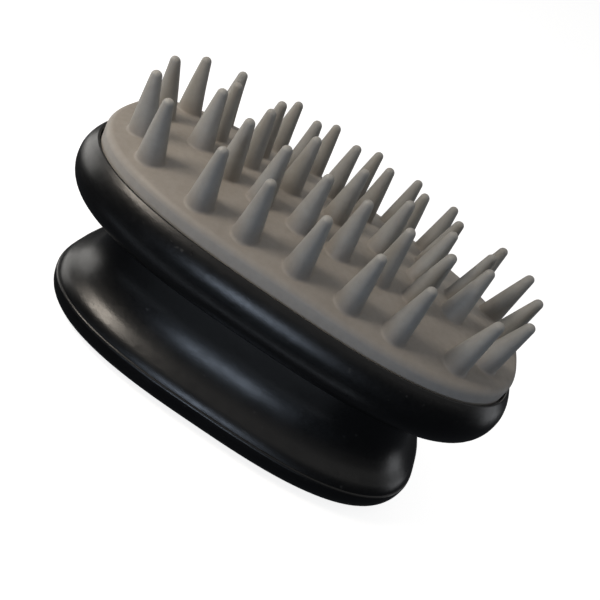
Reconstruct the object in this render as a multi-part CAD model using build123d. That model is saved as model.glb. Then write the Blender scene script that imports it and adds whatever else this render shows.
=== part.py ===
from build123d import *
import os
from math import atan, cos, degrees, pi, radians, sin, sqrt

# Palm-held scalp massager brush, in millimetres. It stands on the flat of its palm cap with the spikes up:
# +Z points out of the spikes, +X runs along the long axis, and z = 0 is the flat of the palm cap.
# Every outline is the same rounded oval, a superellipse, at its own length and width.

# ---- driving dimensions -------------------------------------------------------------------------------
outline_power = 2.83            # 2 is an ellipse, larger is squarer
outline_points = 32
cutter_seam = 0.4               # a hollow's outline starts at another angle than the body it is cut from

head_length = 100.0
head_width = 57.0
head_bottom = 26.5
head_top = 40.9
head_round = 7.0
head_wall = 4.6                 # at the seat that the pad rests on
head_floor = 2.8
head_corner = 2.5               # rounding between the wall and the floor inside
mouth_round = 0.3               # broken edge round the pad's recess

pad_length = 94.3
pad_width = 51.2
pad_gap = 0.3                   # visible parting gap round the pad
pad_base = 37.5
pad_edge_round = 1.5
pad_skin = 2.4
pad_lip_height = 1.4
pad_lip_reach = 2.2
carrier_thickness = 2.0
carrier_flange = 3.5            # width of the carrier's full-depth rim
crown_height = 46.0             # highest point of the pad between the spikes
crown_long_radius = 357.0
crown_cross_radius = 86.0
crown_swing = 15                # degrees of crown either side of the middle, more than the pad needs

spike_height = 12.2
spike_base_diameter = 5.2
spike_tip_diameter = 2.1
spike_flare = 0.5               # radius of the fillet at a spike's root
spike_flare_foot = 0.35         # how far that fillet runs into the pad's skin
spike_root = 1.3                # how deep a spike is sunk into the pad's skin
outer_ring_length = 80.6
outer_ring_width = 41.8
outer_ring_power = 3.2
outer_ring_stations = (0, 10.8, 20.6, 33.2, 39.0, outer_ring_length / 2)
inner_ring_length = 61.0
inner_ring_width = 21.0
inner_ring_power = 2.5
inner_ring_stations = (4.3, 13.3, 21.4, 29.7)
centre_row_stations = (0, 10.8, 20.6)
end_lean = 8.5                  # degrees outwards at the ends of the outer ring
side_lean = 6.5                 # degrees outwards at the sides of the outer ring

handle_length = 92.7
handle_width = 51.7
handle_wall = 2.2
cap_seam = 7.2                  # height of the joint between the palm cap and the handle shell
shoulder_start = 17             # degrees that the handle's side already leans inwards at the seam
shoulder_end = 55.5             # degrees where the rounded shoulder turns into the hollow flare
shoulder_radius = 4.3
shoulder_steps = 4
flare_radius = 11.0             # hollow curve that runs upright into the neck
flare_steps = 8
neck_steps = 7
cap_round = 5.7
cap_step = 0.45                 # how far the cap's rim stands proud of the shell
cap_rim_round = 0.6
cap_floor = 2.4
cap_corner = 3.0
cap_lip_thickness = 1.5
cap_lip_inset = 2.9             # from the shell's outline to the cap's register lip
cap_lip_height = 1.3            # how far the lip reaches into the shell
cap_lip_depth = 1.0             # how far it reaches down inside the cap
cap_lip_backing = 0.7           # how much of the lip's thickness stands on the cap's wall
bead_start = 0.35               # height of the snap bead above the seam
bead_height = 0.6
bead_reach = 0.15
neck_end_wall = 2.5

screw_positions = [(x, y) for x in (-21.0, 21.0) for y in (-7.0, 7.0)]
screw_radius = 1.5
screw_head_radius = 2.9
screw_head_height = 2.1
screw_length = 10.5
screw_clearance_radius = 1.7
screw_boss_radius = 3.6
screw_head_round = 1.2
screw_point = 1.0
thread_relief = 0.02
pilot_relief = 1.5              # depth of the pilot hole past the screw's tip
slot_length = 3.2
slot_width = 0.7
slot_depth = 1.1
seal_width = 1.4
seal_height = 1.0
neck_seal_inset = 1.8
cap_seal_inset = 0.95
cap_seal_width = 0.9
cap_seal_height = 0.8

peg_positions = [(x, y) for x in (-34.0, 34.0) for y in (-10.5, 10.5)]
peg_radius = 2.5
peg_running_gap = 0.1
peg_tip = 31.0
peg_point = 0.6
peg_overlap = 1.2               # how far a peg runs into the carrier's rim
socket_relief = 0.5             # room under a peg's tip
peg_boss_radius = 4.2
boss_top = 36.6
rib_thickness = 1.6
rib_height = 2.5
boss_sink = 1.0                 # how far bosses and ribs run into the head's floor

fit = 0.1                       # ordinary moulding clearance between pieces
overshoot = 1.0                 # how far a cutting block runs past the face that it opens
edge_tolerance = 0.5            # how closely an edge has to match the outline that it is looked up by


# ---- shapes used by several pieces --------------------------------------------------------------------
def superellipse_reach(turn, power):
    """How far a superellipse stands out in the direction turn, as a share of an ellipse's half axes."""
    return (abs(cos(turn)) ** power + abs(sin(turn)) ** power) ** (-1 / power)


def oval(length, width, inset=0.0, seam=0.0):
    """Flat rounded-oval face, drawn inset from the stated size, whose outline starts at the angle seam."""
    half_length = length / 2 - inset
    half_width = width / 2 - inset
    points = []
    for step in range(outline_points):
        turn = seam + 2 * pi * step / outline_points
        reach = superellipse_reach(turn, outline_power)
        points.append((half_length * cos(turn) * reach, half_width * sin(turn) * reach))
    return make_face(Spline(*points, periodic=True))


def slab(length, width, low, high, inset=0.0, seam=0.0):
    """Upright oval block between two heights."""
    return extrude(Pos(0, 0, low) * oval(length, width, inset, seam), high - low)


def hollow(length, width, low, high, inset=0.0):
    """Upright oval block to be cut out of another."""
    return slab(length, width, low, high, inset, cutter_seam)


def ring(length, width, low, high, outer_inset, inner_inset):
    """Upright oval ring between two heights."""
    outside = slab(length, width, low, high, outer_inset)
    return outside - hollow(length, width, low - overshoot, high + overshoot, inner_inset)


def top_edges(solid):
    return solid.edges().group_by(Axis.Z)[-1]


def bottom_edges(solid):
    return solid.edges().group_by(Axis.Z)[0]


def post(position, low, high, radius):
    """Upright round post at (x, y)."""
    return Pos(position[0], position[1], (low + high) / 2) * Cylinder(radius, high - low)


def crowned(solid, drop=0.0):
    """Trim a solid's top to the pad's crown, or to the same crown lowered by drop along its normal."""
    half_span = head_width
    cross = crown_cross_radius - drop
    centre = crown_height - crown_cross_radius
    side = centre + sqrt(cross ** 2 - half_span ** 2)
    section = make_face(Plane.YZ * (
        ThreePointArc((-half_span, side), (0, centre + cross), (half_span, side))
        + Polyline((half_span, side), (half_span, centre), (-half_span, centre), (-half_span, side))
    ))
    axis = Axis((0, 0, crown_height - crown_long_radius), (0, 1, 0))
    barrel = revolve(section.rotate(axis, -crown_swing), axis, 2 * crown_swing)
    return solid & barrel


def crown_at(x, y):
    """Height of the pad's crown at (x, y)."""
    across = sqrt(crown_cross_radius ** 2 - y ** 2) - crown_cross_radius + crown_long_radius
    return crown_height - crown_long_radius + sqrt(across ** 2 - x ** 2)


# ---- silicone pad -------------------------------------------------------------------------------------
def spike():
    """One tapered spike on the Z axis, with a rounded tip and a flared root that runs into the pad."""
    base = spike_base_diameter / 2
    tip = spike_tip_diameter / 2
    taper = atan((base - tip) / (spike_height - tip))
    tip_centre = spike_height - tip
    shoulder = (tip * cos(taper), tip_centre + tip * sin(taper))
    crown = (tip * sin(pi / 4), tip_centre + tip * cos(pi / 4))
    root = -spike_root
    foot = (base + spike_flare, -spike_flare_foot)
    ankle = (base - spike_flare * sin(taper), spike_flare)
    middle = (base + spike_flare * (1 - sin(pi / 4)), spike_flare * (1 - sin(pi / 4)) / 2)
    profile = make_face(Plane.XZ * (
        Polyline((0, spike_height), (0, root), (foot[0], root), foot)
        + ThreePointArc(foot, middle, ankle)
        + Line(ankle, shoulder)
        + ThreePointArc(shoulder, crown, (0, spike_height))
    ))
    return revolve(profile, Axis.Z)


def ring_points(length, width, power, stations):
    """Points of an oval ring at the given x stations, mirrored in x and y, with none twice."""
    points = []
    for x in stations:
        share = max(0.0, 1 - (2 * x / length) ** power)
        y = width / 2 * share ** (1 / power)
        for side_x in {x, -x}:
            for side_y in {y, -y}:
                points.append((side_x, side_y))
    return points


def spike_positions():
    outer = ring_points(outer_ring_length, outer_ring_width, outer_ring_power, outer_ring_stations)
    inner = ring_points(inner_ring_length, inner_ring_width, inner_ring_power, inner_ring_stations)
    centre = [(x, 0) for station in centre_row_stations for x in {station, -station}]
    return outer + inner + centre


def spikes():
    """All the spikes, standing on the crown and leaning outwards more and more towards its edge."""
    one = spike()
    placed = []
    for x, y in spike_positions():
        lean_x = end_lean * (2 * x / outer_ring_length) ** 3
        lean_y = side_lean * (2 * y / outer_ring_width)
        placed.append(Pos(x, y, crown_at(x, y)) * Rot(-lean_y, lean_x, 0) * one)
    return placed


def bristle_pad():
    blank = crowned(slab(pad_length, pad_width, pad_base, crown_height + overshoot))
    skin = fillet(top_edges_of_side(blank), pad_edge_round)
    lip_top = pad_base + pad_lip_height
    inside = crowned(hollow(pad_length, pad_width, lip_top, crown_height, pad_skin), pad_skin)
    mouth = hollow(pad_length, pad_width, pad_base - overshoot, lip_top + fit, pad_skin + pad_lip_reach)
    return skin - inside - mouth + spikes()


def top_edges_of_side(solid):
    """The edges where a crowned slab's top meets its upright side."""
    return solid.faces().sort_by(Axis.Z)[-1].edges()


def pad_carrier():
    """Crowned plate inside the pad, with four pegs that push into the head."""
    base = pad_base + pad_lip_height + fit
    blank = slab(pad_length, pad_width, base, crown_height, pad_skin + fit)
    plate = crowned(blank, pad_skin + fit)
    scoop = hollow(pad_length, pad_width, base - overshoot, crown_height, pad_skin + fit + carrier_flange)
    plate -= crowned(scoop, pad_skin + fit + carrier_thickness)
    for position in peg_positions:
        peg = post(position, peg_tip, base + peg_overlap, peg_radius)
        plate += chamfer(bottom_edges(peg), peg_point)
    return plate


# ---- head ---------------------------------------------------------------------------------------------
def head_shell():
    """Rounded bowl that takes the pad in its mouth and the neck against its underside."""
    body = slab(head_length, head_width, head_bottom, head_top)
    body = fillet(top_edges(body) + bottom_edges(body), head_round)
    seat = pad_base - fit
    body -= hollow(pad_length, pad_width, seat, head_top + overshoot, -pad_gap)
    body = fillet(mouth_edge(body), mouth_round)
    inside = hollow(head_length, head_width, head_bottom + head_floor, seat + fit, head_wall)
    body -= fillet(bottom_edges(inside), head_corner)
    boss_root = head_bottom + boss_sink
    for position in screw_positions:
        body += post(position, boss_root, boss_top, screw_boss_radius)
    for position in peg_positions:
        body += post(position, boss_root, boss_top, peg_boss_radius)
    body += head_ribs()
    pilot_end = head_bottom - neck_end_wall + screw_length + pilot_relief
    for position in screw_positions:
        body -= post(position, head_bottom - overshoot, pilot_end, screw_radius)
    for position in peg_positions:
        body -= post(position, peg_tip - socket_relief, boss_top + overshoot, peg_radius + peg_running_gap)
    return body


def mouth_edge(body):
    """The sharp edge where the pad's recess meets the head's rounded rim."""
    return [edge for edge in body.edges() if edge.bounding_box().max.Z > head_top - head_round
            and abs(edge.bounding_box().size.X - pad_length - 2 * pad_gap) < edge_tolerance
            and edge.bounding_box().min.Z > pad_base]


def head_ribs():
    """Low ribs that tie the bosses to each other inside the bowl."""
    low = head_bottom + boss_sink
    height = head_floor + rib_height - boss_sink
    ribs = []
    for x, y in screw_positions:
        peg_x, peg_y = [p for p in peg_positions if p[0] * x > 0 and p[1] * y > 0][0]
        run = sqrt((peg_x - x) ** 2 + (peg_y - y) ** 2)
        angle = degrees(atan((peg_y - y) / (peg_x - x)))
        middle = Pos((x + peg_x) / 2, (y + peg_y) / 2, low + height / 2)
        ribs.append(middle * Rot(0, 0, angle) * Box(run, rib_thickness, height))
    for x, y in screw_positions:
        ribs.append(Pos(x, y / 2, low + height / 2) * Box(rib_thickness, abs(y), height))
    return ribs


# ---- handle -------------------------------------------------------------------------------------------
def handle_stations(wall=0.0):
    """(inset, height) up the handle's side, or up the hollow that leaves a wall: shoulder, then flare."""
    start = radians(shoulder_start)
    turn = radians(shoulder_end)
    inset = cap_step + shoulder_radius * cos(start)
    height = cap_seam - shoulder_radius * sin(start)
    stations = []
    for step in range(shoulder_steps + 1):
        lean = start + (turn - start) * step / shoulder_steps
        radius = shoulder_radius - wall
        stations.append((inset - radius * cos(lean), height + radius * sin(lean)))
    inset -= (shoulder_radius + flare_radius) * cos(turn)
    height += (shoulder_radius + flare_radius) * sin(turn)
    for step in range(1, flare_steps + 1):
        lean = turn * (1 - step / flare_steps)
        radius = flare_radius + wall
        stations.append((inset + radius * cos(lean), height - radius * sin(lean)))
    return stations


def handle_block(top, wall=0.0, seam=0.0):
    """The handle and its neck in one, from the seam up to the height top, or the hollow inside them."""
    stations = handle_stations(wall)
    inset, flare_top = stations[-1]
    for step in range(1, neck_steps + 1):
        stations.append((inset, flare_top + (top - flare_top) * step / neck_steps))
    return loft([Pos(0, 0, height) * oval(handle_length, handle_width, side, seam)
                 for side, height in stations])


def handle_shell():
    """The handle's upper part, which flares into the hollow neck that the fingers close round."""
    end_wall = head_bottom - neck_end_wall
    body = handle_block(head_bottom)
    body -= handle_block(end_wall, handle_wall, cutter_seam)
    shell_length = handle_length - 2 * cap_step
    shell_width = handle_width - 2 * cap_step
    recess_top = cap_seam + cap_lip_height + fit
    body -= hollow(shell_length, shell_width, cap_seam - overshoot, recess_top, cap_lip_inset - fit)
    body -= snap_bead(shell_length, shell_width, fit)
    body -= neck_seal()
    for position in screw_positions:
        body -= post(position, end_wall - overshoot, head_bottom + overshoot, screw_clearance_radius)
    return body


def snap_bead(length, width, gap=0.0):
    """Round bead on the cap's register lip, grown by gap to make the groove that it snaps into."""
    low = cap_seam + bead_start
    high = low + bead_height
    wall = cap_lip_inset - fit
    return ring(length, width, low - gap, high + gap, wall - bead_reach - gap, wall + 2 * fit)


def palm_cap():
    """Shallow tray with a rounded edge that closes the handle and rests in the palm."""
    tray = slab(handle_length, handle_width, 0, cap_seam)
    tray = fillet(bottom_edges(tray), cap_round)
    tray = fillet(top_edges(tray), cap_rim_round)
    inner = cap_step + cap_lip_inset + cap_lip_backing
    inside = hollow(handle_length, handle_width, cap_floor, cap_seam + overshoot, inner)
    tray -= fillet(bottom_edges(inside), cap_corner)
    shell_length = handle_length - 2 * cap_step
    shell_width = handle_width - 2 * cap_step
    lip_low = cap_seam - cap_lip_depth
    lip_high = cap_seam + cap_lip_height
    lip_inside = cap_lip_inset + cap_lip_thickness
    tray += ring(shell_length, shell_width, lip_low, lip_high, cap_lip_inset, lip_inside)
    tray += snap_bead(shell_length, shell_width)
    return tray - cap_seal()


def cap_seal():
    """Gasket in the cap's rim, pressed by the shell's edge."""
    low = cap_seam - cap_seal_height
    return ring(handle_length, handle_width, low, cap_seam, cap_seal_inset, cap_seal_inset + cap_seal_width)


def neck_seal():
    """Gasket in the end of the neck, pressed by the head's underside."""
    low = head_bottom - seal_height
    outside = handle_stations()[-1][0] + neck_seal_inset
    return ring(handle_length, handle_width, low, head_bottom, outside, outside + seal_width)


def neck_screws():
    """Pan-head self-tapping screws, driven up through the neck's end wall into the head's bosses."""
    head_face = head_bottom - neck_end_wall
    screws = []
    for position in screw_positions:
        head = post(position, head_face - screw_head_height, head_face, screw_head_radius)
        head = fillet(bottom_edges(head), screw_head_round)
        for angle in (0, 90):
            slot = Rot(0, 0, angle) * Box(slot_length, slot_width, 2 * slot_depth)
            head -= Pos(position[0], position[1], head_face - screw_head_height) * slot
        tip = head_face + screw_length
        shank = post(position, head_face, tip, screw_radius - thread_relief)
        screws.append(head + chamfer(top_edges(shank), screw_point))
    return Compound(children=screws)


pieces = {
    "bristle_pad": bristle_pad,
    "pad_carrier": pad_carrier,
    "head_shell": head_shell,
    "handle_shell": handle_shell,
    "palm_cap": palm_cap,
    "neck_screws": neck_screws,
    "neck_seal": neck_seal,
    "cap_seal": cap_seal,
}

os.makedirs("parts", exist_ok=True)
for name, make in pieces.items():
    export_step(make(), f"parts/{name}.step")
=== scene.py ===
import math
import random

import bmesh
import bpy
from mathutils import Matrix, Vector
from mathutils.geometry import delaunay_2d_cdt


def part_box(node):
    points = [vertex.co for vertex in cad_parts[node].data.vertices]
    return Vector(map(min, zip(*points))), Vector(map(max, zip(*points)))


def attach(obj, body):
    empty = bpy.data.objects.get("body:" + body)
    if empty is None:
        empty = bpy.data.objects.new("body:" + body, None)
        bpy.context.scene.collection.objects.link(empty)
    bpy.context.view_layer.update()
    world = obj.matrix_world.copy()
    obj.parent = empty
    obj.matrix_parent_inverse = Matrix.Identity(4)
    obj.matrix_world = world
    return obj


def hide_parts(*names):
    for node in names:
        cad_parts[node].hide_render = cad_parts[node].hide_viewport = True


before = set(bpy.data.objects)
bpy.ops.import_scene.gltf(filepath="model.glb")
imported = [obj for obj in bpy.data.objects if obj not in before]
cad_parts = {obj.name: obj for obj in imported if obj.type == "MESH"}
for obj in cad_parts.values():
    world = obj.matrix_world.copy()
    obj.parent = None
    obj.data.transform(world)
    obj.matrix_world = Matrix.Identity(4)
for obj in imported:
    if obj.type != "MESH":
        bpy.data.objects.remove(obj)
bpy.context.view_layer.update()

# A palm-held scalp massager brush, standing on its palm cap with the spikes up. Lengths are in millimetres,
# and are turned into metres where meshes, materials, lights and the camera are made.
MM = 0.001

# ---- the pad's shape, as the CAD solid has it ---------------------------------------------------------
pad_low, pad_high = (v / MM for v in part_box("bristle_pad"))
OUTLINE_POWER = 2.83  # 2 would be an ellipse, and more is squarer
PAD_HALF_LENGTH = (pad_high.x - pad_low.x) / 2
PAD_HALF_WIDTH = (pad_high.y - pad_low.y) / 2
PAD_BASE = pad_low.z
PAD_SKIN = 2.4
PAD_RIM_ROUND = 1.6
PAD_FOOT_ROUND = 0.3
PAD_LIP_HEIGHT = 1.4
PAD_LIP_REACH = 2.2
PAD_LIP_ROUND = 0.2
PAD_INNER_ROUND = 0.3
CROWN_LONG_RADIUS = 357.0
CROWN_CROSS_RADIUS = 86.0

SPIKE_HEIGHT = 12.2
SPIKE_BASE = 2.6  # radius just above the flared root
SPIKE_TIP = 1.05  # radius of the ball at the tip
SPIKE_FLARE = 0.5
SPIKE_FOOT = SPIKE_BASE + SPIKE_FLARE
CROWN_HEIGHT = pad_high.z - SPIKE_HEIGHT

# The spikes stand on two rounded ovals and a centre row. Stations are distances along the brush from its
# middle, and each one is mirrored to both ends and both sides.
OUTER_RING = {"length": 80.6, "width": 41.8, "power": 3.2, "stations": (0, 10.8, 20.6, 33.2, 39.0, 40.3)}
INNER_RING = {"length": 61.0, "width": 21.0, "power": 2.5, "stations": (4.3, 13.3, 21.4, 29.7)}
CENTRE_ROW = (0, 10.8, 20.6)

# Outward lean in degrees, at the ends and at the sides of the outer ring.
END_LEAN = 8.5
END_LEAN_POWER = 3
SIDE_LEAN = 6.5

# How far a soft tip is bent to one side, and the height over which the spike's rings turn from the crown's
# slope to lie square across the spike.
BEND_RANGE = (0.05, 0.42)
BEND_SEED = 41
ROOT_BLEND = 1.2

# ---- mesh densities -----------------------------------------------------------------------------------
OUTLINE_STEPS = 360
RIM_STEPS = 10
SIDE_SHARES = (0.66, 0.33)  # rings down the pad's side, as shares of its height above the foot
FOOT_STEPS = 3
SLOPE_STEP = 0.5  # distance over which the crown's slope at the rim is measured
SPIKE_STEPS = 36
FLARE_STEPS = 5
SHAFT_STEPS = 14
TIP_STEPS = 7

# The skin's top is filled with a grid of equal triangles, kept clear of the rim and of the spikes.
SKIN_GRID = 1.3
GRID_ROW_SHARE = 0.866  # height of an equilateral triangle over its side
GRID_RIM_GAP = 0.7
GRID_FOOT_GAP = 0.55
FOOT_HOLE_SHARE = 0.98
INSIDE_EDGES = 1  # the triangulation's output type that leaves out what lies outside the outer edge
WELD_DISTANCE = 1e-6

# Rings across the hollow underside of the skin: inset beyond the skin's thickness, scale towards the
# centre, and drop below the inner crown.
INNER_RINGS = ((0, 1, PAD_INNER_ROUND), (0.5, 1, 0), (3, 1, 0), (3, 0.6, 0), (3, 0.25, 0))


# ---- mesh helpers -------------------------------------------------------------------------------------
def turns(steps):
    """Equal turns round a full circle."""
    return [2 * math.pi * i / steps for i in range(steps)]


def add_ring(points, ring):
    """Adds the ring's points and returns their vertex numbers."""
    first = len(points)
    points.extend(ring)
    return list(range(first, len(points)))


def strip(faces, lower, upper):
    """Quads between two closed rings of vertex numbers."""
    count = len(lower)
    for i in range(count):
        j = (i + 1) % count
        faces.append((lower[i], lower[j], upper[j], upper[i]))


def fan(faces, ring, tip):
    """Triangles that close a ring of vertex numbers on one vertex."""
    count = len(ring)
    for i in range(count):
        faces.append((ring[i], ring[(i + 1) % count], tip))


def mesh_object(name, points, faces, floats=None):
    """A mesh object from points in millimetres, with optional vertex attributes."""
    mesh = bpy.data.meshes.new(name)
    mesh.from_pydata([tuple(Vector(p) * MM) for p in points], [], faces)
    for key, values in (floats or {}).items():
        mesh.attributes.new(key, "FLOAT", "POINT").data.foreach_set("value", values)
    shape = bmesh.new()
    shape.from_mesh(mesh)
    bmesh.ops.recalc_face_normals(shape, faces=shape.faces)
    shape.to_mesh(mesh)
    shape.free()
    mesh.shade_smooth()
    piece = bpy.data.objects.new(name, mesh)
    bpy.context.scene.collection.objects.link(piece)
    return piece


# ---- the silicone pad: skin, rim, lip and spikes as one closed moulding -------------------------------
def outline_point(turn):
    """A point of the pad's rounded oval and its outward normal, in the direction turn."""
    along, across = math.cos(turn), math.sin(turn)
    reach = (abs(along) ** OUTLINE_POWER + abs(across) ** OUTLINE_POWER) ** (-1 / OUTLINE_POWER)
    x, y = PAD_HALF_LENGTH * along * reach, PAD_HALF_WIDTH * across * reach
    slope_x = math.copysign(abs(x / PAD_HALF_LENGTH) ** (OUTLINE_POWER - 1) / PAD_HALF_LENGTH, x)
    slope_y = math.copysign(abs(y / PAD_HALF_WIDTH) ** (OUTLINE_POWER - 1) / PAD_HALF_WIDTH, y)
    return Vector((x, y)), Vector((slope_x, slope_y)).normalized()


def depth_inside(x, y):
    """How far (x, y) lies inside the pad's outline, measured along the outline's normal."""
    place, normal = outline_point(math.atan2(y * PAD_HALF_LENGTH, x * PAD_HALF_WIDTH))
    return (place - Vector((x, y))).dot(normal)


def crown_at(x, y, drop=0.0):
    """Height of the pad's crown at (x, y), or of the surface drop below it."""
    across = math.sqrt((CROWN_CROSS_RADIUS - drop) ** 2 - y * y)
    across += CROWN_LONG_RADIUS - CROWN_CROSS_RADIUS
    return CROWN_HEIGHT - CROWN_LONG_RADIUS + math.sqrt(across * across - x * x)


def mirrored(x, y):
    """The place itself and its mirror images in both upright planes, each once."""
    return [(sx, sy) for sx in sorted({x, -x}) for sy in sorted({y, -y})]


def spike_positions():
    """The (x, y) places where the spikes stand."""
    places = []
    for oval in (OUTER_RING, INNER_RING):
        for x in oval["stations"]:
            share = max(0.0, 1 - (2 * x / oval["length"]) ** oval["power"])
            places += mirrored(x, oval["width"] / 2 * share ** (1 / oval["power"]))
    for x in CENTRE_ROW:
        places += mirrored(x, 0)
    return places


def lip_profile():
    """(inset, height) pairs from the foot of the rim, under the lip and up to the skin's inner face."""
    lip_top = PAD_BASE + PAD_LIP_HEIGHT
    lip_edge = PAD_SKIN + PAD_LIP_REACH
    profile = [(0, PAD_BASE + PAD_FOOT_ROUND)]
    for step in range(1, FOOT_STEPS + 1):
        phi = math.pi / 2 * step / FOOT_STEPS
        inset = PAD_FOOT_ROUND * (1 - math.cos(phi))
        profile.append((inset, PAD_BASE + PAD_FOOT_ROUND * (1 - math.sin(phi))))
    profile += [
        (lip_edge / 2, PAD_BASE),
        (lip_edge - PAD_LIP_ROUND, PAD_BASE),
        (lip_edge, PAD_BASE + PAD_LIP_ROUND),
        (lip_edge, lip_top - PAD_LIP_ROUND),
        (lip_edge - PAD_LIP_ROUND, lip_top),
        (PAD_SKIN + PAD_INNER_ROUND, lip_top),
        (PAD_SKIN, lip_top + PAD_INNER_ROUND),
    ]
    return profile


def skin_rim(points, faces):
    """The rounded rim, the side, the lip and the underside, from the edge of the top inwards.

    Returns the vertex numbers of the top's edge, and how much painted light each vertex of the rim's
    rounding and side gets.
    """
    outline = [outline_point(turn) for turn in turns(OUTLINE_STEPS)]

    def at(i, inset):
        place, normal = outline[i]
        return place - normal * inset

    # The rounding starts along the crown's slope and ends upright.
    starts, centres = [], []
    for i, (_, normal) in enumerate(outline):
        near = at(i, PAD_RIM_ROUND)
        further = near - normal * SLOPE_STEP
        fall = math.atan((crown_at(further.x, further.y) - crown_at(near.x, near.y)) / SLOPE_STEP)
        edge = at(i, PAD_RIM_ROUND * (1 - math.sin(fall)))
        starts.append(fall)
        centres.append(crown_at(edge.x, edge.y) - PAD_RIM_ROUND * math.cos(fall))

    rings = []
    for step in range(RIM_STEPS + 1):
        ring = []
        for i in range(OUTLINE_STEPS):
            phi = starts[i] + (math.pi / 2 - starts[i]) * step / RIM_STEPS
            place = at(i, PAD_RIM_ROUND * (1 - math.sin(phi)))
            ring.append((place.x, place.y, centres[i] + PAD_RIM_ROUND * math.cos(phi)))
        rings.append(ring)
    foot = PAD_BASE + PAD_FOOT_ROUND
    for share in SIDE_SHARES:
        ring = []
        for i in range(OUTLINE_STEPS):
            place = at(i, 0)
            ring.append((place.x, place.y, foot + (centres[i] - foot) * share))
        rings.append(ring)
    painted_light_rings = len(rings)
    for inset, z in lip_profile():
        ring = []
        for i in range(OUTLINE_STEPS):
            place = at(i, inset)
            ring.append((place.x, place.y, z))
        rings.append(ring)
    for inset, scale, drop in INNER_RINGS:
        ring = []
        for i in range(OUTLINE_STEPS):
            place = at(i, PAD_SKIN + inset) * scale
            ring.append((place.x, place.y, crown_at(place.x, place.y, PAD_SKIN) - drop))
        rings.append(ring)

    numbers = [add_ring(points, ring) for ring in rings]
    for lower, upper in zip(numbers, numbers[1:]):
        strip(faces, lower, upper)
    middle = len(points)
    points.append((0, 0, crown_at(0, 0, PAD_SKIN)))
    fan(faces, numbers[-1], middle)

    # Painted light: the rim's rounding and side are painted paler as they turn upright, standing for the
    # front light falling on them.
    painted_rim_light = {}
    for step, ring in enumerate(numbers[:painted_light_rings]):
        for i in ring:
            painted_rim_light[i] = min(1.0, step / RIM_STEPS) ** 2
    return numbers[0], painted_rim_light


def grid_places(spikes):
    """Places of the skin's triangular grid, clear of the rim's rounding and of the spikes' feet."""
    places = []
    rows = int(PAD_HALF_WIDTH / (SKIN_GRID * GRID_ROW_SHARE)) + 1
    columns = int(PAD_HALF_LENGTH / SKIN_GRID) + 1
    for row in range(-rows, rows + 1):
        for column in range(-columns, columns + 1):
            x = (column + 0.5 * (row % 2)) * SKIN_GRID
            y = row * SKIN_GRID * GRID_ROW_SHARE
            near = min(math.hypot(x - px, y - py) for px, py in spikes)
            if near > SPIKE_FOOT + GRID_FOOT_GAP and depth_inside(x, y) > PAD_RIM_ROUND + GRID_RIM_GAP:
                places.append((x, y))
    return places


def skin_top(points, faces, rim, spikes):
    """The crowned top, with a round hole for each spike. Returns the holes' rings of vertex numbers."""
    flat = [Vector(points[i][:2]) for i in rim]
    owners = list(rim)
    edges = [(i, (i + 1) % len(rim)) for i in range(len(rim))]
    circles = []
    for x, y in spikes:
        ring = []
        for turn in turns(SPIKE_STEPS):
            px, py = x + SPIKE_FOOT * math.cos(turn), y + SPIKE_FOOT * math.sin(turn)
            ring.append((px, py, crown_at(px, py)))
        numbers = add_ring(points, ring)
        circles.append(numbers)
        first = len(flat)
        flat += [Vector(p[:2]) for p in ring]
        owners += numbers
        edges += [(first + k, first + (k + 1) % SPIKE_STEPS) for k in range(SPIKE_STEPS)]
    for x, y in grid_places(spikes):
        flat.append(Vector((x, y)))
        owners.append(len(points))
        points.append((x, y, crown_at(x, y)))

    corners, _, triangles, origins, _, _ = delaunay_2d_cdt(flat, edges, [], INSIDE_EDGES, WELD_DISTANCE)
    named = [owners[group[0]] for group in origins]
    for triangle in triangles:
        middle = sum((corners[i] for i in triangle), Vector((0, 0))) / 3
        if all((middle - Vector(p)).length > SPIKE_FOOT * FOOT_HOLE_SHARE for p in spikes):
            faces.append(tuple(named[i] for i in triangle))
    return circles


def spike_frame(x, y):
    """The spike's base point, its leaning axis, and two directions across it."""
    lean_x = math.radians(END_LEAN * (x / (OUTER_RING["length"] / 2)) ** END_LEAN_POWER)
    lean_y = math.radians(SIDE_LEAN * y / (OUTER_RING["width"] / 2))
    axis = Vector((math.tan(lean_x), math.tan(lean_y), 1)).normalized()
    across = Vector((1, 0, 0)) - axis * axis.x
    across.normalize()
    return Vector((x, y, crown_at(x, y))), axis, across, axis.cross(across)


def spike_profile():
    """(height, radius) pairs from the flared root up the taper and over the rounded tip."""
    taper = math.atan((SPIKE_BASE - SPIKE_TIP) / (SPIKE_HEIGHT - SPIKE_TIP))
    profile = []
    for step in range(1, FLARE_STEPS + 1):
        phi = (math.pi / 2 - taper) * step / FLARE_STEPS
        profile.append((SPIKE_FLARE * (1 - math.cos(phi)), SPIKE_FOOT - SPIKE_FLARE * math.sin(phi)))
    low, wide = profile[-1]
    shoulder = SPIKE_HEIGHT - SPIKE_TIP + SPIKE_TIP * math.sin(taper)
    thin = SPIKE_TIP * math.cos(taper)
    for step in range(1, SHAFT_STEPS + 1):
        share = step / SHAFT_STEPS
        profile.append((low + (shoulder - low) * share, wide + (thin - wide) * share))
    for step in range(1, TIP_STEPS):
        phi = taper + (math.pi / 2 - taper) * step / TIP_STEPS
        profile.append((SPIKE_HEIGHT - SPIKE_TIP + SPIKE_TIP * math.sin(phi), SPIKE_TIP * math.cos(phi)))
    return profile


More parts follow.
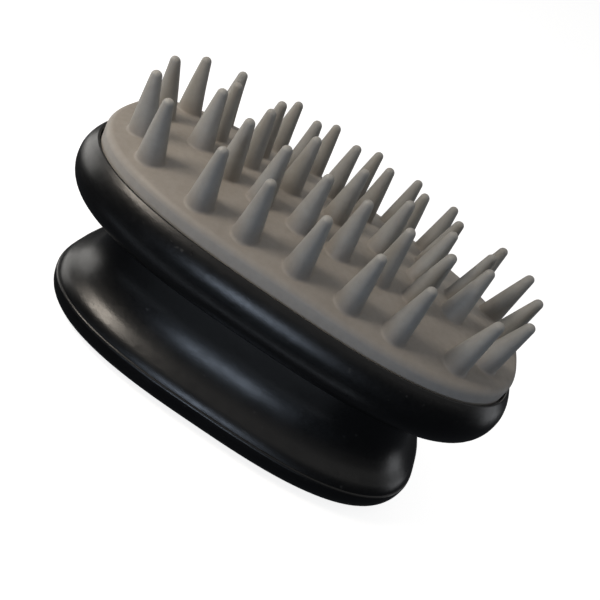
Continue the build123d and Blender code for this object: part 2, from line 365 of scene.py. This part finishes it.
def raise_spike(points, faces, circle, place, bend, bend_turn):
    """One bent spike on its ring of foot vertices. Returns each new vertex's share of the spike's height."""
    base, axis, across, up = spike_frame(*place)
    sway = (across * math.cos(bend_turn) + up * math.sin(bend_turn)) * bend
    heights = {}
    lower = circle
    for height, radius in spike_profile():
        share = min(1.0, height / ROOT_BLEND)
        blend = share * share * (3 - 2 * share)
        centre = base + axis * height + sway * (height / SPIKE_HEIGHT) ** 2
        ring = []
        for turn in turns(SPIKE_STEPS):
            px, py = base.x + radius * math.cos(turn), base.y + radius * math.sin(turn)
            on_skin = Vector((px, py, crown_at(px, py) + height))
            lean = Vector((math.cos(turn), math.sin(turn), 0))
            lean = (lean - axis * lean.dot(axis)).normalized()
            ring.append(tuple(on_skin.lerp(centre + lean * radius, blend)))
        upper = add_ring(points, ring)
        for i in upper:
            heights[i] = height / SPIKE_HEIGHT
        strip(faces, lower, upper)
        lower = upper
    tip = len(points)
    points.append(tuple(base + axis * SPIKE_HEIGHT + sway))
    heights[tip] = 1.0
    fan(faces, lower, tip)
    return heights


def build_pad():
    """The whole pad. Its attributes say how far up a spike a vertex lies, and how much painted light it gets
    on the rim.
    """
    rng = random.Random(BEND_SEED)
    points, faces = [], []
    rim, painted_rim_light = skin_rim(points, faces)
    spikes = spike_positions()
    circles = skin_top(points, faces, rim, spikes)
    heights = {}
    for place, circle in zip(spikes, circles):
        bend_turn = rng.uniform(0, 2 * math.pi)
        bend = rng.uniform(*BEND_RANGE)
        heights.update(raise_spike(points, faces, circle, place, bend, bend_turn))
    floats = {
        "along": [heights.get(i, 0.0) for i in range(len(points))],
        "rim": [painted_rim_light.get(i, 0.0) for i in range(len(points))],
    }
    return mesh_object("silicone_pad", points, faces, floats)


# ---- materials ----------------------------------------------------------------------------------------
class Shader:
    """A small helper round one material's nodes. Textures use object coordinates, in metres."""

    def __init__(self, name):
        self.material = bpy.data.materials.new(name)
        self.material.use_nodes = True
        self.tree = self.material.node_tree
        self.surface = next(n for n in self.tree.nodes if n.type == "BSDF_PRINCIPLED")
        self.place = self.node("ShaderNodeTexCoord").outputs["Object"]

    def node(self, kind, **inputs):
        made = self.tree.nodes.new(kind)
        for key, value in inputs.items():
            self.feed(made.inputs[key.replace("_", " ")], value)
        return made

    def feed(self, socket, value):
        """Links another node's output to the socket, or sets a constant on it."""
        if isinstance(value, bpy.types.NodeSocket):
            self.tree.links.new(value, socket)
        else:
            socket.default_value = value

    def attribute(self, name):
        made = self.tree.nodes.new("ShaderNodeAttribute")
        made.attribute_name = name
        return made.outputs["Fac"]

    def noise(self, scale, detail, roughness, distortion=0.0, stretch=None):
        """Noise with about scale features in a metre, or that times stretch along each axis."""
        place = self.place
        if stretch:
            mapping = self.node("ShaderNodeMapping", Vector=place, Scale=stretch)
            place = mapping.outputs["Vector"]
        made = self.node(
            "ShaderNodeTexNoise", Vector=place, Scale=scale, Detail=detail,
            Roughness=roughness, Distortion=distortion,
        )
        return made.outputs["Fac"]

    def remap(self, value, from_low, from_high, to_low, to_high):
        made = self.tree.nodes.new("ShaderNodeMapRange")
        for socket, v in zip(made.inputs[:5], (value, from_low, from_high, to_low, to_high)):
            self.feed(socket, v)
        return made.outputs[0]

    def maths(self, kind, a, b):
        made = self.tree.nodes.new("ShaderNodeMath")
        made.operation = kind
        self.feed(made.inputs[0], a)
        self.feed(made.inputs[1], b)
        return made.outputs[0]

    def mix(self, share, a, b):
        made = self.tree.nodes.new("ShaderNodeMix")
        made.data_type = "RGBA"
        self.feed(made.inputs["Factor"], share)
        self.feed(made.inputs[6], a)
        self.feed(made.inputs[7], b)
        return made.outputs[2]

    def shades(self, value, low, high, first, second):
        """A colour that goes from first to second as value goes from low to high."""
        return self.mix(self.remap(value, low, high, 0, 1), first, second)

    def bump(self, height, strength, distance, under=None):
        made = self.node("ShaderNodeBump", Height=height, Strength=strength, Distance=distance * MM)
        if under is not None:
            self.feed(made.inputs["Normal"], under)
        return made.outputs["Normal"]

    def material_with(self, **inputs):
        """The material, with its surface's inputs set."""
        for key, value in inputs.items():
            self.feed(self.surface.inputs[key.replace("_", " ")], value)
        return self.material


def rgba(r, g, b):
    return (r, g, b, 1.0)


def black_plastic():
    """Satin, faintly soft-touch black moulding with fine grain, handling marks and a few dust specks."""
    look = Shader("black_plastic")
    cloud = look.noise(38, 4, 0.6)
    smear = look.noise(120, 5, 0.65, 0.6, (1.0, 0.45, 1.0))
    grain = look.noise(5200, 2, 0.6)
    pebble = look.noise(1500, 3, 0.55)
    colour = look.shades(cloud, 0.35, 0.65, rgba(0.0018, 0.0019, 0.0022), rgba(0.0034, 0.0034, 0.0036))
    speck = look.remap(look.noise(900, 1, 0.4), 0.74, 0.80, 0.0, 1.0)
    colour = look.mix(look.maths("MULTIPLY", speck, 0.12), colour, rgba(0.09, 0.085, 0.08))
    rough = look.remap(smear, 0.3, 0.7, 0.29, 0.39)
    rough = look.maths("ADD", rough, look.remap(pebble, 0.3, 0.7, -0.03, 0.03))
    rough = look.maths("ADD", rough, look.maths("MULTIPLY", speck, 0.2))
    normal = look.bump(pebble, 0.18, 0.05)
    normal = look.bump(grain, 0.22, 0.02, normal)
    return look.material_with(Base_Color=colour, Roughness=rough, Normal=normal, Specular_IOR_Level=0.50)


def silicone():
    """Matte warm grey silicone with a powdery fine texture, with painted shade on the skin and at the
    spikes' roots, painted cool light up the spikes and painted light on the rim.
    """
    look = Shader("grey_silicone")
    along = look.attribute("along")
    rim = look.attribute("rim")
    cloud = look.noise(55, 4, 0.6)
    mottle = look.noise(700, 3, 0.6)
    grain = look.noise(6000, 2, 0.6)
    # Painted shade and light: the skin and the spikes' roots get a darker warm grey as shade, and higher up
    # the spikes get a paler cool grey as the cool front light on them.
    skin = look.shades(cloud, 0.3, 0.7, rgba(0.245, 0.223, 0.198), rgba(0.290, 0.266, 0.238))
    spike = look.shades(cloud, 0.3, 0.7, rgba(0.290, 0.285, 0.270), rgba(0.335, 0.330, 0.314))
    colour = look.shades(along, 0.0, 0.35, skin, spike)
    # Painted light: the rim attribute mixes the rim towards a pale grey, as if lit from the front.
    colour = look.mix(look.maths("MULTIPLY", rim, 0.45), colour, rgba(0.48, 0.47, 0.45))
    colour = look.mix(look.remap(mottle, 0.35, 0.7, 0.0, 0.10), colour, rgba(0.08, 0.07, 0.06))
    rough = look.remap(mottle, 0.3, 0.7, 0.52, 0.66)
    normal = look.bump(mottle, 0.12, 0.08)
    normal = look.bump(grain, 0.20, 0.02, normal)
    return look.material_with(
        Base_Color=colour, Roughness=rough, Normal=normal, Subsurface_Weight=0.06,
        Subsurface_Radius=(1.0, 0.8, 0.6), Subsurface_Scale=1.2 * MM, Specular_IOR_Level=0.42,
        Sheen_Weight=0.12, Sheen_Roughness=0.5,
    )


def inner_plastic():
    """Unfinished dark moulding with flow marks."""
    look = Shader("inner_plastic")
    flow = look.noise(90, 4, 0.6, 1.2, (0.4, 1.4, 1.0))
    grain = look.noise(2600, 3, 0.6)
    colour = look.shades(flow, 0.3, 0.7, rgba(0.034, 0.034, 0.037), rgba(0.052, 0.051, 0.054))
    rough = look.remap(grain, 0.3, 0.7, 0.46, 0.60)
    return look.material_with(Base_Color=colour, Roughness=rough, Normal=look.bump(grain, 0.25, 0.04))


def screw_steel():
    """Zinc-plated steel with turning marks and a little dulling."""
    look = Shader("screw_steel")
    turning = look.noise(2200, 2, 0.5, 0.0, (1.0, 1.0, 9.0))
    cloud = look.noise(400, 3, 0.6)
    colour = look.shades(cloud, 0.35, 0.7, rgba(0.60, 0.60, 0.58), rgba(0.46, 0.455, 0.43))
    rough = look.remap(turning, 0.3, 0.7, 0.24, 0.40)
    normal = look.bump(turning, 0.2, 0.02)
    return look.material_with(Base_Color=colour, Metallic=1.0, Roughness=rough, Normal=normal)


def seal_rubber():
    """Matte black gasket rubber with bloom."""
    look = Shader("seal_rubber")
    bloom = look.noise(500, 4, 0.65)
    grain = look.noise(4200, 2, 0.6)
    colour = look.shades(bloom, 0.35, 0.7, rgba(0.018, 0.018, 0.018), rgba(0.040, 0.040, 0.041))
    rough = look.remap(bloom, 0.3, 0.7, 0.68, 0.82)
    return look.material_with(Base_Color=colour, Roughness=rough, Normal=look.bump(grain, 0.3, 0.03))


def dress(node, material):
    """Gives a CAD node's object the material in each of its slots."""
    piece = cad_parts[node]
    if not piece.material_slots:
        piece.data.materials.append(material)
    for holder in piece.material_slots:
        holder.material = material


plastic = black_plastic()
for node in ("head_shell", "handle_shell", "palm_cap"):
    dress(node, plastic)
dress("pad_carrier", inner_plastic())
dress("neck_screws", screw_steel())
rubber = seal_rubber()
for node in ("neck_seal", "cap_seal"):
    dress(node, rubber)

pad = build_pad()
pad.data.materials.append(silicone())
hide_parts("bristle_pad")
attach(pad, "pad")

# ---- studio -------------------------------------------------------------------------------------------
# The floor's rings, from the middle out to where it curves up into the wall.
FLOOR_RADII = (40.0, 150.0, 400.0, 900.0, 1400.0)
FLOOR_STEPS = 96
COVE_RADIUS = 1200.0
COVE_STEPS = 12

# Each softbox: name, place, the point it faces, length and width, watts, colour.
SOFTBOXES = (
    ("key_warm", (-125, -72, 155), (-10, 0, 40), (60, 40), 0.17, (1.0, 0.90, 0.78)),
    ("front_cool", (-25, -380, 48), (0, 0, 30), (90, 100), 0.27, (0.70, 0.82, 1.0)),
    ("left_window", (-330, 60, 60), (-40, 0, 25), (240, 180), 0.36, (1.0, 0.98, 0.94)),
    ("right_soft", (330, 90, 70), (40, 0, 20), (120, 160), 0.09, (0.95, 0.97, 1.0)),
    ("back_fill", (70, 420, 170), (0, 0, 30), (240, 160), 0.14, (1.0, 0.97, 0.92)),
    ("table_bounce", (-20, -50, 2), (-20, -34, 32), (110, 7), 0.0015, (0.82, 0.90, 1.0)),
)

# The room is a dim surround that is lighter overhead. The overhead light starts at one cosine of the angle
# off its direction, and is full at the other.
ROOM_COLOUR = (0.028, 0.030, 0.034)
OVERHEAD_DIRECTION = (0.0, 0.15, 1.0)
OVERHEAD_START = 0.20
OVERHEAD_FULL = 1.00
OVERHEAD_STRENGTH = 0.50
OVERHEAD_COLOUR = (1.0, 0.98, 0.95)


def studio_floor():
    """A round pale floor that curves up into a wall far behind the brush, so that no horizon shows."""
    points, faces = [], []
    profile = [(radius, 0) for radius in FLOOR_RADII]
    for step in range(1, COVE_STEPS + 1):
        phi = math.pi / 2 * step / COVE_STEPS
        profile.append((FLOOR_RADII[-1] + COVE_RADIUS * math.sin(phi), COVE_RADIUS * (1 - math.cos(phi))))
    rings = []
    for radius, z in profile:
        ring = [(radius * math.cos(turn), radius * math.sin(turn), z) for turn in turns(FLOOR_STEPS)]
        rings.append(add_ring(points, ring))
    for lower, upper in zip(rings, rings[1:]):
        strip(faces, lower, upper)
    faces.append(tuple(rings[0]))
    floor = mesh_object("studio_floor", points, faces)
    look = Shader("pale_floor")
    paper = look.noise(900, 3, 0.6)
    colour = look.shades(paper, 0.3, 0.7, rgba(0.48, 0.48, 0.48), rgba(0.50, 0.50, 0.50))
    floor.data.materials.append(look.material_with(
        Base_Color=colour, Roughness=0.9, Specular_IOR_Level=0.1,
        Emission_Color=rgba(1, 1, 1), Emission_Strength=0.85,
    ))
    # The floor glows so that it is pale under dim lights. The brush neither mirrors it nor is lit by it.
    floor.visible_glossy = False
    floor.visible_diffuse = False


def softbox(name, place, aim, size, power, colour):
    """A rectangular area light at place, facing aim."""
    lamp = bpy.data.lights.new(name, "AREA")
    lamp.shape = "RECTANGLE"
    lamp.size, lamp.size_y = size[0] * MM, size[1] * MM
    lamp.energy = power
    lamp.color = colour
    holder = bpy.data.objects.new(name, lamp)
    bpy.context.scene.collection.objects.link(holder)
    place, aim = Vector(place) * MM, Vector(aim) * MM
    holder.location = place
    holder.rotation_mode = "QUATERNION"
    holder.rotation_quaternion = (aim - place).to_track_quat("-Z", "Y")
    holder.visible_camera = False


def studio_room():
    """The world's light: the room's colour, plus more of it towards the overhead direction."""
    world = bpy.data.worlds.new("studio_room")
    bpy.context.scene.world = world
    world.use_nodes = True
    tree = world.node_tree
    backdrop = next(n for n in tree.nodes if n.type == "BACKGROUND")
    place = tree.nodes.new("ShaderNodeTexCoord").outputs["Generated"]
    cosine = tree.nodes.new("ShaderNodeVectorMath")
    cosine.operation = "DOT_PRODUCT"
    tree.links.new(place, cosine.inputs[0])
    cosine.inputs[1].default_value = Vector(OVERHEAD_DIRECTION).normalized()
    ramp = tree.nodes.new("ShaderNodeMapRange")
    ramp.interpolation_type = "SMOOTHSTEP"
    tree.links.new(cosine.outputs["Value"], ramp.inputs[0])
    for socket, value in zip(ramp.inputs[1:5], (OVERHEAD_START, OVERHEAD_FULL, 0.0, OVERHEAD_STRENGTH)):
        socket.default_value = value
    overhead = tree.nodes.new("ShaderNodeVectorMath")
    overhead.operation = "SCALE"
    overhead.inputs[0].default_value = OVERHEAD_COLOUR
    tree.links.new(ramp.outputs[0], overhead.inputs["Scale"])
    total = tree.nodes.new("ShaderNodeVectorMath")
    total.operation = "ADD"
    tree.links.new(overhead.outputs[0], total.inputs[0])
    total.inputs[1].default_value = ROOM_COLOUR
    tree.links.new(total.outputs[0], backdrop.inputs["Color"])
    backdrop.inputs["Strength"].default_value = 1.0


studio_floor()
for lamp in SOFTBOXES:
    softbox(*lamp)
studio_room()

# ---- camera -------------------------------------------------------------------------------------------
# Where the camera stands, and the directions that its right and its top point in.
CAMERA_PLACE = (3.4, -120.0, 98.7)
CAMERA_RIGHT = (0.829, 0.290, 0.478)
CAMERA_UP = (-0.559, 0.431, 0.708)
CAMERA_LENS = 39.0
CAMERA_SENSOR = 36.0
CAMERA_NEAR = 5.0
CAMERA_FAR = 10000.0

lens = bpy.data.cameras.new("camera")
lens.lens = CAMERA_LENS
lens.sensor_width = CAMERA_SENSOR
lens.clip_start = CAMERA_NEAR * MM
lens.clip_end = CAMERA_FAR * MM
camera = bpy.data.objects.new("camera", lens)
bpy.context.scene.collection.objects.link(camera)
right = Vector(CAMERA_RIGHT).normalized()
back = right.cross(Vector(CAMERA_UP)).normalized()
up = back.cross(right)
facing = Matrix((right, up, back)).transposed().to_4x4()
camera.matrix_world = Matrix.Translation(Vector(CAMERA_PLACE) * MM) @ facing
bpy.context.scene.camera = camera
bpy.context.scene.view_settings.view_transform = "Standard"
